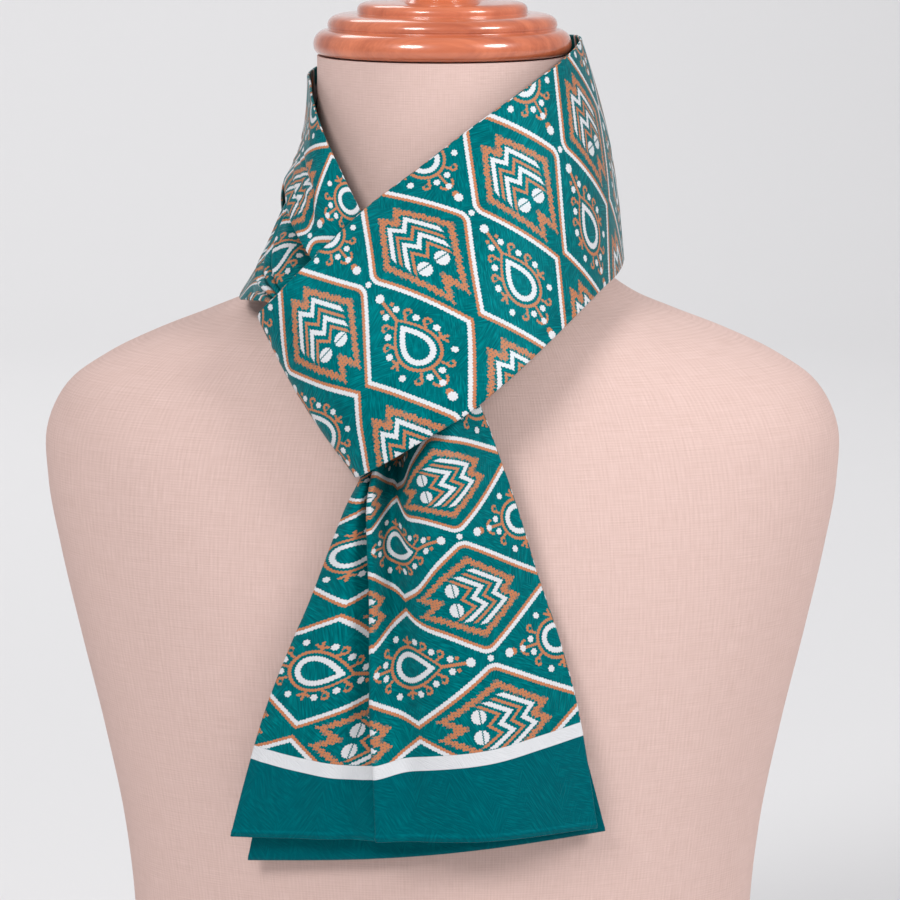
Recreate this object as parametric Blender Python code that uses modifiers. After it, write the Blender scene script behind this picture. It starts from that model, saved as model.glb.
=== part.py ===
"""A silk cravat scarf in a Parisian knot, on a limbless dress form.

The scarf is one flat tube of printed silk, folded to half its length, laid round
the neck with both ends drawn through the fold, and opened out into two tails.
Each stretch of it is an open surface between two edges, with a wall of cloth.

Sizes are in millimetres; +X is the wearer's left, -Y is the front, +Z is up, and
the origin is under the neck's axis, at the level that the form stands on.
"""
import math
from collections import namedtuple

import bmesh
import bpy
import numpy as np

MM = 0.001

# Driving dimensions
NECK_TOP = 545.0            # height of the neck's flat top, under the wood cap
BASE_THICK = 14.0           # base board
BASE_MARGIN = 6.0           # the board stands out past the torso by this much
BASE_EDGE = 2.5             # its eased edges
CAP_RADIUS = 64.0           # the cap's widest rim
CLOTH_WALL = 1.8            # folded silk tube, four layers
SEAM_GAP = 0.3              # between the form's pieces
CLOTH_GAP = 0.4             # between two stretches, where one runs on into the next
FORM_SIDES = 48
FORM_RING_STEP = 26.0
CAP_SIDES = 44
PLEAT_TURN = 2.0            # radius of the knife pleat's two turns

SILK_TEAL = (0.0, 0.16, 0.18, 1.0)
LINEN = (0.72, 0.60, 0.53, 1.0)
WARM_WOOD = (0.58, 0.17, 0.06, 1.0)

# The form, a level slice in each row: how far it reaches to each side, to the
# front and to the back of the neck's axis.
Slice = namedtuple("Slice", "height side front back")
FORM_SLICES = (
    Slice(BASE_THICK, 160, 102, 100),
    Slice(60, 156, 100, 97),
    Slice(110, 155, 104, 95),
    Slice(160, 160, 110, 98),
    Slice(210, 170, 115, 104),
    Slice(260, 182, 117, 109),
    Slice(300, 191, 116, 111),
    Slice(335, 197, 112, 110),
    Slice(362, 197, 106, 106),
    Slice(382, 187, 99, 101),
    Slice(396, 168, 93, 97),
    Slice(408, 143, 88, 93),
    Slice(418, 117, 83, 89),
    Slice(427, 96, 78, 85),
    Slice(438, 81, 73, 80),
    Slice(452, 71, 68, 74),
    Slice(470, 66, 64.5, 68.5),
    Slice(495, 63, 62, 64),
    Slice(520, 62, 61.5, 62),
    Slice(NECK_TOP, 62, 61.5, 62),
)

# The turned cap: radius and height above the neck's top, from the foot up.
CapPoint = namedtuple("CapPoint", "radius rise")
CAP_PROFILE = (
    CapPoint(58.0, 0.0),
    CapPoint(62.0, 1.2),
    CapPoint(CAP_RADIUS, 5.5),
    CapPoint(62.6, 10.0),
    CapPoint(58.5, 12.6),
    CapPoint(56.5, 13.4),
    CapPoint(56.3, 16.5),
    CapPoint(54.0, 19.6),
    CapPoint(42.5, 20.8),
    CapPoint(41.8, 23.6),
    CapPoint(39.5, 25.8),
    CapPoint(20.5, 26.8),
    CapPoint(18.4, 31.0),
    CapPoint(17.6, 38.0),
    CapPoint(22.5, 44.0),
    CapPoint(24.0, 51.0),
    CapPoint(20.5, 58.0),
    CapPoint(12.0, 62.4),
)

# A layer of scarf, a crosswise section in each row: its upper edge, its lower
# edge, how far the cloth between them bows outward, and how deep its pleats are.
Section = namedtuple("Section", "upper lower bow pleat", defaults=(0.0,))

# The outer layer: from behind the knot round the loop's fold at the lower left,
# across the front, round the back of the neck and down again to the knot.
OUTER_LAYER = (
    Section((-52, -81, 431), (-14, -105, 377), 0),
    Section((-75, -84, 421), (-35, -109, 361), 1),
    Section((-88, -91, 425), (-41, -127, 354), 3),
    Section((-79, -101, 437), (-29, -139, 361), 5),
    Section((-63, -99, 453), (-8, -143, 374), 8),
    Section((-49, -94, 466), (12, -141, 386), 10),
    Section((-37, -89, 477), (28, -133, 398), 11),
    Section((-11, -81, 496), (50, -115, 416), 10),
    Section((13, -75, 514), (66, -93, 429), 8),
    Section((38, -62, 531), (77, -70, 437), 6),
    Section((56, -41, 543), (85, -43, 441), 5),
    Section((66, -15, 550), (89, -12, 443), 4),
    Section((68, 12, 553), (89, 18, 443), 4, 0.5),
    Section((59, 38, 552), (78, 52, 441), 4, 1.5),
    Section((35, 60, 549), (49, 84, 438), 3, 2.5),
    Section((0, 68.5, 546), (0, 97, 437), 3, 3.0),
    Section((-34, 60, 543), (-48, 84, 441), 3, 2.5),
    Section((-57, 37, 539), (-76, 50, 452), 0, 2.5),
    Section((-66, 12, 535), (-81, 16, 470), -5, 3.0),
    Section((-65, -10, 532), (-79.5, -12, 485), -6, 4.0),
    Section((-61.5, -30, 525), (-78, -37, 478), -3, 3.0),
    Section((-55, -49, 511), (-73, -62, 467), 2, 2.0),
    Section((-47, -63, 495), (-64, -83, 454), 4, 0.5),
    Section((-38, -76, 475), (-52, -96, 436), 5),
    Section((-25, -93, 452), (-41, -110, 413), 4),
    Section((-9, -108, 427), (-35, -120, 390), 3),
    Section((4, -118, 408), (-34, -122, 374), 2),
)
# The inner layer: the loop's return to the wearer's left, round the back of the
# neck, and its pleated way to the knot.
INNER_LAYER = (
    Section((-52, -81, 431), (-14, -105, 377), 0),
    Section((-31, -79, 448), (8, -104, 390), 0),
    Section((-8, -75, 471), (34, -100, 405), 1),
    Section((16, -69, 498), (54, -89, 420), 1),
    Section((38, -56, 520), (68, -70, 431), 1),
    Section((54, -36, 534), (78, -44, 437), 1),
    Section((62.5, -14, 541), (83, -16, 440), 1),
    Section((64, 10, 543), (84, 15, 441), 1),
    Section((55, 34, 542), (74, 48, 438), 1),
    Section((32, 55.5, 540), (46, 81, 434), 1),
    Section((0, 63.4, 538), (0, 92, 431), 1),
    Section((-32, 55.5, 532), (-47, 81, 430), 1),
    Section((-55, 33, 522), (-79, 49, 431), 0),
    Section((-63.5, 10, 508), (-91, 18, 431), 0, 1.0),
    Section((-66, -10, 496), (-95, -12, 430), 1, 3.0),
    Section((-66, -32, 486), (-95, -40, 427), 3, 4.5),
    Section((-61, -52, 473), (-91, -61, 428), 4, 4.5),
    Section((-54, -67, 459), (-81, -77, 429), 3, 3.0),
    Section((-44, -79, 445), (-66, -90, 417), 2, 1.0),
    Section((-32, -89, 428), (-49, -100, 399), 1),
    Section((-18, -99, 411), (-38, -108, 384), 1),
)
# Each stretch: its layer, the rows that it runs between, and how many points it
# has along and across.
Stretch = namedtuple("Stretch", "layer first last along across")
STRETCHES = {
    "front_band": Stretch(OUTER_LAYER, 0, 11, 36, 11),
    "nape_outer": Stretch(OUTER_LAYER, 11, 19, 24, 13),
    "left_outer": Stretch(OUTER_LAYER, 19, 26, 16, 13),
    "inner_band": Stretch(INNER_LAYER, 0, 6, 16, 6),
    "nape_inner": Stretch(INNER_LAYER, 6, 13, 22, 6),
    "left_inner": Stretch(INNER_LAYER, 13, 20, 18, 21),
}
PLEAT_EDGES = (0.0, 0.40, 0.62, 0.82, 1.0)   # where each pleat of a layer ends
PLEAT_CREST = 0.72                           # how far across it a pleat stands highest

# The front tail: the right end of each section, the crest of its rounded ridge, the
# shallow valley beside that, the fold of its knife pleat, the left end, and how far
# the right part laps over the left one. Crest, valley and fold are (x, y) places.
TailSection = namedtuple("TailSection", "right crest valley fold left lap")
FRONT_TAIL_SECTIONS = (
    TailSection((4.5, -118.4, 407.2), (-8, -120.1), (-20, -120.7), (-29, -121), (-34, -122.1, 373.1), 5),
    TailSection((16.5, -124, 389), (0, -131), (-20, -126.5), (-31, -127), (-37, -121, 356), 14),
    TailSection((27, -126, 362), (2, -137), (-20, -129), (-34, -131), (-46, -124, 337), 22),
    TailSection((36, -127, 336), (4, -136), (-19, -131), (-34, -133), (-54, -122, 316), 25),
    TailSection((45, -124, 306), (8, -135.5), (-17, -132.5), (-33, -133), (-63, -120, 292), 22),
    TailSection((55, -122, 276), (12, -135.5), (-15, -133.5), (-33, -133), (-74, -118, 266), 17),
    TailSection((64, -120, 243), (15, -135), (-13, -134), (-33, -132.5), (-85, -115, 237), 11),
    TailSection((71, -118, 210), (18, -134.5), (-11, -134), (-32, -132), (-94, -112, 206), 6),
    TailSection((78, -115, 180), (20, -134), (-10, -134), (-31, -131.5), (-102, -109, 175), 3),
)
FRONT_TAIL_ALONG = 18
PLEAT_STEPS = {"right": 13, "lap": 3, "left": 7, "turn": 4}
REAR_TAIL_SECTIONS = (
    Section((-17.8, -99.1, 410.8), (-37.8, -108.1, 383.8), 1),
    Section((-3, -108, 395), (-33.5, -112, 368), 0),
    Section((13, -114, 374), (-34, -113, 350), 0),
    Section((25, -117, 340), (-49, -114.5, 322), 1.5),
    Section((42, -115.5, 296), (-62, -113, 284), 5.5),
    Section((56, -113, 256), (-75, -110, 245), 8),
    Section((66, -109.5, 214), (-85, -106, 205), 11.5),
    Section((76, -106, 178), (-94, -101, 165), 15),
)
REAR_TAIL = Stretch(REAR_TAIL_SECTIONS, 0, len(REAR_TAIL_SECTIONS) - 1, 15, 13)


def remove_everything():
    """Start from an empty scene."""
    for item in list(bpy.data.objects):
        bpy.data.objects.remove(item, do_unlink=True)


def make_material(name, colour, roughness, metallic=0.0):
    """A Principled material of one colour."""
    material = bpy.data.materials.new(name)
    material.use_nodes = True
    shader = material.node_tree.nodes["Principled BSDF"]
    shader.inputs["Base Color"].default_value = colour
    shader.inputs["Roughness"].default_value = roughness
    shader.inputs["Metallic"].default_value = metallic
    return material


def add_object(name, mesh, collection, material):
    """Link a mesh to the object's collection, shaded smooth."""
    item = bpy.data.objects.new(name, mesh)
    collection.objects.link(item)
    mesh.materials.append(material)
    mesh.shade_smooth()
    mesh.set_sharp_from_angle(angle=math.radians(40))
    return item


def smooth_through(knots, values, places):
    """A smooth curve through values at knots, read at places (cubic, C1)."""
    knots = np.asarray(knots, float)
    values = np.asarray(values, float)
    slopes = np.gradient(values, knots, axis=0)
    index = np.clip(np.searchsorted(knots, places, side="right") - 1, 0, len(knots) - 2)
    step = knots[index + 1] - knots[index]
    t = (places - knots[index]) / step
    shape = (-1,) + (1,) * (values.ndim - 1)
    t, step = t.reshape(shape), step.reshape(shape)
    return (
        (2 * t**3 - 3 * t**2 + 1) * values[index]
        + (t**3 - 2 * t**2 + t) * step * slopes[index]
        + (3 * t**2 - 2 * t**3) * values[index + 1]
        + (t**3 - t**2) * step * slopes[index + 1]
    )


def chord_lengths(points):
    """Distance along a row of points, starting from nothing."""
    steps = np.linalg.norm(np.diff(points, axis=0), axis=1)
    return np.concatenate(([0.0], np.cumsum(steps)))


def column(rows, name):
    """One named column of a table."""
    return np.array([getattr(row, name) for row in rows], float)


def unit(vectors):
    """Vectors at length one."""
    return vectors / np.linalg.norm(vectors, axis=-1, keepdims=True)


def pleat_profile(across):
    """Shingled pleats: each one swells and then drops back sharply at its edge."""
    profile = np.zeros_like(across)
    for start, end in zip(PLEAT_EDGES[:-1], PLEAT_EDGES[1:]):
        inside = (across >= start) & (across <= end)
        t = (across[inside] - start) / (end - start)
        swell = np.sin(t / PLEAT_CREST * math.pi / 2)
        drop = np.cos((t - PLEAT_CREST) / (1 - PLEAT_CREST) * math.pi / 2)
        profile[inside] = np.where(t < PLEAT_CREST, swell, drop)
    return profile


def stretch_grid(stretch):
    """Points of a stretch of its layer, a small gap short of each end row."""
    rows = stretch.layer
    upper, lower = column(rows, "upper"), column(rows, "lower")
    knots = chord_lengths((upper + lower) / 2)
    ends = knots[stretch.first] + CLOTH_GAP / 2, knots[stretch.last] - CLOTH_GAP / 2
    places = np.linspace(*ends, stretch.along)
    upper, lower = smooth_through(knots, upper, places), smooth_through(knots, lower, places)
    bow = smooth_through(knots, column(rows, "bow"), places)
    pleat = smooth_through(knots, column(rows, "pleat"), places)
    middle = (column(rows, "upper") + column(rows, "lower")) / 2
    ahead, behind = (smooth_through(knots, middle, places + step) for step in (1.0, -1.0))
    outward = unit(np.cross(lower - upper, ahead - behind))
    t = np.linspace(0.0, 1.0, stretch.across)
    flat = upper[:, None] * (1 - t)[None, :, None] + lower[:, None] * t[None, :, None]
    rise = bow[:, None] * np.sin(math.pi * t) + pleat[:, None] * pleat_profile(t)
    return flat + rise[..., None] * outward[:, None]


def pleated_section(right, crest, valley, fold, left, lap):
    """One section of the front tail, as points from its right end to its left one.

    The right part turns under at its fold, runs back beneath itself for the lap,
    turns again and comes out as the left part, deeper by four turns' radius.
    """
    steps = PLEAT_STEPS

    def run(start, end, count):
        return [np.add(start, np.subtract(end, start) * i / count) for i in range(1, count + 1)]

    def turn(centre, side):
        angles = math.pi * np.arange(1, steps["turn"] + 1) / steps["turn"]
        sweep = np.stack((side * np.sin(angles), -np.cos(angles)), axis=1)
        return list(np.add(centre, PLEAT_TURN * sweep))

    knots = np.array((fold, valley, crest, right[:2]))
    across = np.linspace(right[0], fold[0], steps["right"] + 1)
    outline = list(np.stack((across, smooth_through(knots[:, 0], knots[:, 1], across)), axis=1))
    outline += turn((fold[0], fold[1] + PLEAT_TURN), -1)
    under = (fold[0] + lap, outline[-1][1])
    outline += run(outline[-1], under, steps["lap"])
    outline += turn((under[0], under[1] + PLEAT_TURN), 1)
    outline += run(outline[-1], left[:2], steps["left"])
    level = np.interp([x for x, _ in outline], (left[0], right[0]), (left[2], right[2]))
    return np.column_stack((outline, level))


def front_tail_grid():
    """Points of the front tail, from under the band down to its hem."""
    rows = FRONT_TAIL_SECTIONS
    knots = chord_lengths((column(rows, "right") + column(rows, "left")) / 2)
    places = np.linspace(0.0, knots[-1], FRONT_TAIL_ALONG)
    columns = [smooth_through(knots, column(rows, name), places) for name in rows[0]._fields]
    return np.array([pleated_section(*section) for section in zip(*columns)])


def cloth(name, grid, collection, material):
    """A stretch of cloth: an open surface over a grid of points, given its wall."""
    along, across = grid.shape[:2]
    shape = bmesh.new()
    points = [[shape.verts.new(point * MM) for point in row] for row in grid]
    for i in range(along - 1):
        for j in range(across - 1):
            corners = (points[i][j], points[i][j + 1], points[i + 1][j + 1], points[i + 1][j])
            shape.faces.new(corners)
    mesh = bpy.data.meshes.new(name)
    shape.to_mesh(mesh)
    shape.free()
    item = add_object(name, mesh, collection, material)
    wall = item.modifiers.new("wall", "SOLIDIFY")
    wall.thickness = CLOTH_WALL * MM
    wall.offset = 0.0
    return item


def make_torso(collection, material):
    """The form's torso and neck, a loft through its level slices."""
    heights = column(FORM_SLICES, "height")
    rings = []
    for low, high in zip(FORM_SLICES[:-1], FORM_SLICES[1:]):
        rise = math.hypot(high.height - low.height, high.side - low.side)
        steps = math.ceil(rise / FORM_RING_STEP)
        rings.extend(np.linspace(low.height, high.height, steps, endpoint=False))
    rings = np.array(rings + [NECK_TOP])
    side, front, back = (
        smooth_through(heights, column(FORM_SLICES, name), rings)
        for name in ("side", "front", "back")
    )
    shape = bmesh.new()
    loops = []
    for level, height in enumerate(rings):
        loop = []
        for corner in range(FORM_SIDES):
            angle = 2 * math.pi * corner / FORM_SIDES
            reach = back[level] if math.sin(angle) > 0 else front[level]
            place = (side[level] * math.cos(angle), reach * math.sin(angle), height)
            loop.append(shape.verts.new([value * MM for value in place]))
        loops.append(loop)
    for low, high in zip(loops[:-1], loops[1:]):
        for i in range(FORM_SIDES):
            j = (i + 1) % FORM_SIDES
            shape.faces.new((low[i], low[j], high[j], high[i]))
    shape.faces.new(loops[0][::-1])
    shape.faces.new(loops[-1])
    mesh = bpy.data.meshes.new("form_torso")
    shape.to_mesh(mesh)
    shape.free()
    return add_object("form_torso", mesh, collection, material)


def make_neck_cap(collection, material):
    """The turned cap on the neck: its profile spun round the neck's axis."""
    foot = NECK_TOP + SEAM_GAP
    profile = [(0.0, CAP_PROFILE[-1].rise + 1.0)]
    profile += [(point.radius, point.rise) for point in reversed(CAP_PROFILE)]
    profile += [(0.0, 0.0)]
    mesh = bpy.data.meshes.new("form_neck_cap")
    points = [(radius * MM, 0.0, (foot + rise) * MM) for radius, rise in profile]
    edges = [(i, i + 1) for i in range(len(points) - 1)]
    mesh.from_pydata(points, edges, [])
    item = add_object("form_neck_cap", mesh, collection, material)
    spin = item.modifiers.new("turned", "SCREW")
    spin.angle = 2 * math.pi
    spin.steps = CAP_SIDES
    spin.render_steps = CAP_SIDES
    spin.use_merge_vertices = True
    spin.merge_threshold = 0.00001
    return item


def make_base(collection, material):
    """The board that the form stands on, an oval with a rounded upper edge."""
    foot = FORM_SLICES[0]
    side, reach = foot.side + BASE_MARGIN, (foot.front + foot.back) / 2 + BASE_MARGIN
    shape = bmesh.new()
    bmesh.ops.create_cone(shape, cap_ends=True, segments=FORM_SIDES, radius1=MM, radius2=MM,
                          depth=MM)
    height = BASE_THICK - SEAM_GAP
    bmesh.ops.scale(shape, vec=(side, reach, height), verts=shape.verts)
    middle = (0.0, (foot.back - foot.front) / 2 * MM, height / 2 * MM)
    bmesh.ops.translate(shape, vec=middle, verts=shape.verts)
    mesh = bpy.data.meshes.new("form_base")
    shape.to_mesh(mesh)
    shape.free()
    item = add_object("form_base", mesh, collection, material)
    edge = item.modifiers.new("eased_edge", "BEVEL")
    edge.width = BASE_EDGE * MM
    edge.segments = 2
    edge.limit_method = "ANGLE"
    return item


def make_scarf(collection, material):
    """The scarf's eight stretches."""
    for name, stretch in STRETCHES.items():
        cloth(name, stretch_grid(stretch), collection, material)
    cloth("tail_front", front_tail_grid(), collection, material)
    cloth("tail_back", stretch_grid(REAR_TAIL), collection, material)


def main():
    remove_everything()
    collection = bpy.data.collections.new("silk_cravat_on_dress_form")
    bpy.context.scene.collection.children.link(collection)
    silk = make_material("printed_silk", SILK_TEAL, 0.42)
    linen = make_material("form_linen", LINEN, 0.85)
    wood = make_material("turned_wood", WARM_WOOD, 0.3)
    make_torso(collection, linen)
    make_neck_cap(collection, wood)
    make_base(collection, wood)
    make_scarf(collection, silk)


main()
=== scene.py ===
"""A silk cravat scarf in a Parisian knot, dressed on a limbless form.

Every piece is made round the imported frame: the scarf's two layers and two tails, the
form's linen cover, its turned cap and its board, and a plain studio.
Tables are in millimetres; +X is the wearer's left, -Y the front, +Z up.
"""
import math
from collections import namedtuple
from functools import reduce

import bmesh
import bpy
import numpy as np
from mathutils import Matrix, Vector


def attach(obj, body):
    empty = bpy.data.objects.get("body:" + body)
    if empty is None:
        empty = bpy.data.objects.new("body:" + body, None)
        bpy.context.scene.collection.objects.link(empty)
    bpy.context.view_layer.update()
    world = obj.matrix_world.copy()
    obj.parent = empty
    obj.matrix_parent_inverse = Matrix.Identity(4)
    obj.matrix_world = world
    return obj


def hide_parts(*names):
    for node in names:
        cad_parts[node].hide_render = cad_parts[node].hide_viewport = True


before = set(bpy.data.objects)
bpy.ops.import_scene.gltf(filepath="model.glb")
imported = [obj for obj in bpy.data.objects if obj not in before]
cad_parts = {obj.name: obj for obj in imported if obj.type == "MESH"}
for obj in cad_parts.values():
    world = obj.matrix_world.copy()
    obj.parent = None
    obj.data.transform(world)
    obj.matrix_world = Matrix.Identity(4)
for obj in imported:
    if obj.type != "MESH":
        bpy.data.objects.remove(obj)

bl_info = {
    "name": "Silk cravat on a dress form",
    "version": (1, 0, 0),
    "blender": (4, 5, 0),
    "location": "3D View > Sidebar > Cravat",
    "description": "Dresses the packed frame of a silk cravat scarf and its dress form",
    "category": "Object",
}

MM = 0.001


def table(columns, *rows):
    """The rows of a table with their columns named; a last one left out is nothing."""
    row = namedtuple("Row", columns, defaults=(0.0,))
    return tuple(row(*values) for values in rows)


# ---- the form's sizes
NECK_TOP = 545.0
BASE_THICK = 14.0
BASE_MARGIN = 6.0
BASE_ROUNDING = 2.5
SEAM_GAP = 0.3  # between the linen and the wood
MERGE_WITHIN = 0.005  # points nearer than this are one
FORM_SIDES = 128  # steps round the linen cover
FORM_RINGS = 150  # and up it
TURNED_SIDES = 144  # steps round the cap and the board
CREASE = math.radians(50)  # a sharper bend than this is an edge
LINEN_WRAP = 85.0  # radius at which the linen's threads lie evenly
LINEN_THREAD = 5.2  # how fast they follow each other, in radians a millimetre

# A level slice in each row: its reach to each side, to the front and to the back.
SLICE = "height side front back"
FORM_SLICES = table(
    SLICE, (BASE_THICK, 160, 102, 100), (60, 156, 100, 97),
    (110, 155, 104, 95), (160, 160, 110, 98), (210, 170, 115, 104), (260, 182, 117, 109),
    (300, 191, 116, 111), (335, 197, 112, 110), (362, 197, 106, 106), (382, 187, 99, 101),
    (396, 168, 93, 97), (408, 143, 88, 93), (418, 117, 83, 89), (427, 96, 78, 85),
    (438, 81, 73, 80), (452, 71, 68, 74), (470, 66, 64.5, 68.5), (495, 63, 62, 64),
    (520, 62, 61.5, 62), (NECK_TOP, 62, 61.5, 62),
)

# The turned cap: radius and height above the neck's top, from the foot up.
CAP_PROFILE = table(
    "radius rise", (57.6, 0.0), (61.4, 0.7), (63.2, 2.4), (63.9, 5.0), (63.6, 7.6), (62.4, 10.0),
    (60.4, 11.7), (58.2, 12.6), (56.9, 12.9), (56.6, 13.6), (56.9, 14.6), (56.6, 16.4),
    (55.4, 18.2), (53.2, 19.5), (49.6, 20.2), (43.2, 20.6), (42.3, 21.0), (42.2, 22.2),
    (41.8, 23.8), (40.4, 25.2), (37.6, 26.1), (30.0, 26.7), (22.4, 27.2), (19.6, 28.6),
    (18.4, 31.4), (17.6, 35.6), (18.0, 39.6), (20.4, 42.8), (22.8, 45.6), (24.0, 49.6),
    (23.2, 54.6), (20.2, 58.6), (15.4, 61.4), (9.0, 62.9), (3.0, 63.3),
)

# ---- the scarf's sizes
# A layer of scarf, a crosswise section in each row: its upper edge, its lower
# edge, how far the cloth between them bows outward, and how deep its pleats are.
SECTION = "upper lower bow pleat"
OUTER_LAYER = table(
    SECTION,
    ((-52, -81, 431), (-14, -105, 377), 0),
    ((-75, -84, 421), (-35, -109, 361), 1),
    ((-88, -91, 425), (-41, -127, 354), 3),
    ((-79, -101, 437), (-29, -139, 361), 5),
    ((-63, -99, 453), (-8, -143, 374), 8),
    ((-49, -94, 466), (12, -141, 386), 10),
    ((-37, -89, 477), (28, -133, 398), 11),
    ((-11, -81, 496), (50, -115, 416), 10),
    ((13, -75, 514), (66, -93, 429), 8),
    ((38, -62, 531), (77, -70, 437), 6),
    ((56, -41, 543), (85, -43, 441), 5),
    ((66, -15, 550), (89, -12, 443), 4),
    ((68, 12, 553), (89, 18, 443), 4, 0.5),
    ((59, 38, 552), (78, 52, 441), 4, 1.5),
    ((35, 60, 549), (49, 84, 438), 3, 2.5),
    ((0, 68.5, 546), (0, 97, 437), 3, 3.0),
    ((-34, 60, 543), (-48, 84, 441), 3, 2.5),
    ((-57, 37, 539), (-76, 50, 452), 0, 1.0),
    ((-66, 12, 535), (-79.5, 16, 471), -4, 1.0),
    ((-65, -10, 532), (-76.5, -12, 485), -4, 1.0),
    ((-63.3, -28, 524.5), (-73.3, -38, 480), -2, 0.9),
    ((-58.3, -46.5, 511), (-69, -62, 468.5), 1.5, 0.6),
    ((-50.2, -61.5, 495), (-62, -83, 455), 4, 0.2),
    ((-39.5, -75.5, 475), (-52, -96, 436), 5),
    ((-25, -93, 452), (-41, -110, 413), 4),
    ((-9, -108, 427), (-35, -120, 390), 3),
    ((4, -118, 408), (-34, -122, 374), 2),
)
INNER_LAYER = table(
    SECTION,
    ((-52, -81, 431), (-14, -105, 377), 0),
    ((-31, -79, 448), (8, -104, 390), 0),
    ((-8, -75, 471), (34, -100, 405), 1),
    ((16, -69, 498), (54, -89, 420), 1),
    ((38, -56, 520), (68, -70, 431), 1),
    ((54, -36, 534), (78, -44, 437), 1),
    ((62.5, -14, 541), (83, -16, 440), 1),
    ((64, 10, 543), (84, 15, 441), 1),
    ((55, 34, 542), (74, 48, 438), 1),
    ((32, 55.5, 540), (46, 81, 434), 1),
    ((0, 63.4, 538), (0, 92, 431), 1),
    ((-32, 55.5, 532), (-47, 81, 430), 1),
    ((-55, 33, 522), (-79, 49, 431), 0),
    ((-63.5, 10, 508), (-91, 18, 431), -1.5, 1.0),
    ((-65, -10, 496), (-95, -12, 430), -2.5, 3.5),
    ((-65, -32, 486), (-95, -40, 427), -1.5, 6.0),
    ((-60.5, -52, 473), (-91, -61, 428), 1.2, 7.0),
    ((-54, -67, 459), (-81, -77, 429), 3, 4.0),
    ((-44, -79, 445), (-66, -90, 417), 2, 1.0),
    ((-32, -89, 428), (-49, -100, 399), 1),
    ((-18, -99, 411), (-38, -108, 384), 1),
)
# How many points each of these has along it and across it.
LAYER_POINTS = {
    "silk_outer_layer": (420, 96), "silk_inner_layer": (360, 110), "silk_rear_tail": (150, 96),
}
NO_HEM = 900.0  # the layers' distance from any hem

# Knife pleats across the inner layer: where each one's folded edge lies, as a share of
# the layer's breadth.
PLEAT_EDGES = (0.52, 0.66, 0.80)
PLEAT_LAP = 0.055  # how far each laps, as a share of that breadth
PLEAT_FAN = 1.1  # how fast they run across the layer, from section to section
PLEAT_MIDDLE = 16.0  # the section where they lie at those places
PLEAT_FAN_REACH = 1.4  # for how many sections they do, to either side of there
PLEAT_BEGINS = 1.0  # depth at which a pleat begins to fold over
PLEAT_FOLDS = 2.0  # and how much deeper it is when fully folded
PLEAT_STEP = 0.006  # place from one point of a pleat's path to the next
PLEAT_WALL = 0.035  # how much a pleat's height counts in spacing the points
# One pleat's path: how far it lies from its folded edge, in parts of the lap, and its height.
PLEAT_PATH = table(
    "reach height", (0.30, 1.0), (0.44, 0.90), (0.32, 0.72), (-0.30, 0.60), (-0.90, 0.50),
    (-1.04, 0.36), (-0.90, 0.22), (-0.20, 0.16), (0.55, 0.20),
)
# The height at each place on the way to a pleat's edge, and on from the last one.
RISE = "place share"
UPPER_EDGE_RISE = 0.25
PLEAT_RISES = table(RISE, (0.5, 0.62), (0.85, 0.92))
LAST_RISES = table(RISE, (0.5, 0.55), (1.0, 0.75))

# The front tail: the right end of each section, the crest of its rounded ridge, the
# valley beside that, the fold of its knife pleat, the left end, and how far the right
# part laps over the left one.
# Then the print's place across the tail at that fold and at the left end, its place along
# the tail, how far its weft sags between its ends, and how far that dips in the valley.
FRONT_TAIL_SECTIONS = table(
    "right crest valley fold left lap print_fold print_left print_along sag dip",
    ((4.5, -118.4, 407.2), (-8, -121), (-20, -107), (-29, -121), (-34, -122.1, 373.1),
     2, 108, 156, 11, 0, 2),
    ((16.5, -122.5, 389), (-2, -136), (-21, -107.5), (-31, -127), (-37, -121, 356),
     6, 110, 160, 33, 0, 3),
    ((27, -123.5, 362), (1, -143), (-22.5, -116.5), (-34, -131), (-46, -124, 337),
     20, 105, 166, 62, 0, 4.5),
    ((36, -123.5, 336), (4, -142), (-24, -122), (-34, -133), (-54, -122, 316),
     24, 103, 170, 90.5, 0, 4.5),
    ((45, -120.5, 306), (8, -141), (-23, -123.5), (-33, -133), (-63, -120, 292),
     22, 103, 173, 118, 4, 3),
    ((55, -118.5, 276), (12, -139), (-21, -125), (-33, -133), (-74, -118, 266),
     17, 103, 175, 144.5, 11, 1),
    ((64, -117, 243), (15, -138), (-19, -127), (-33, -132.5), (-85, -115, 237),
     10, 103, 176, 173.5, 16, 0),
    ((70, -115.5, 210), (18, -137), (-17, -129.5), (-32, -132), (-94, -112, 206),
     4, 103, 174, 205, 19, 0),
    ((74.5, -113, 180), (20, -136), (-14, -131.5), (-31, -131.5), (-102, -109, 175),
     1.2, 104, 173, 236, 20, 0),
)
REAR_TAIL_SECTIONS = table(
    SECTION,
    ((-17.8, -99.1, 410.8), (-37.8, -108.1, 383.8), 1),
    ((-3, -108, 395), (-33.5, -112, 368), 0),
    ((13, -114, 374), (-34, -113, 350), 0),
    ((25, -117, 340), (-49, -114.5, 322), 1.5),
    ((42, -115.5, 296), (-62, -113, 284), 5.5),
    ((58, -113, 256), (-75, -110, 245), 8),
    ((69, -109.5, 214), (-85, -106, 205), 11.5),
    ((78.5, -106, 177), (-94, -101, 161.5), 15),
)
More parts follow.
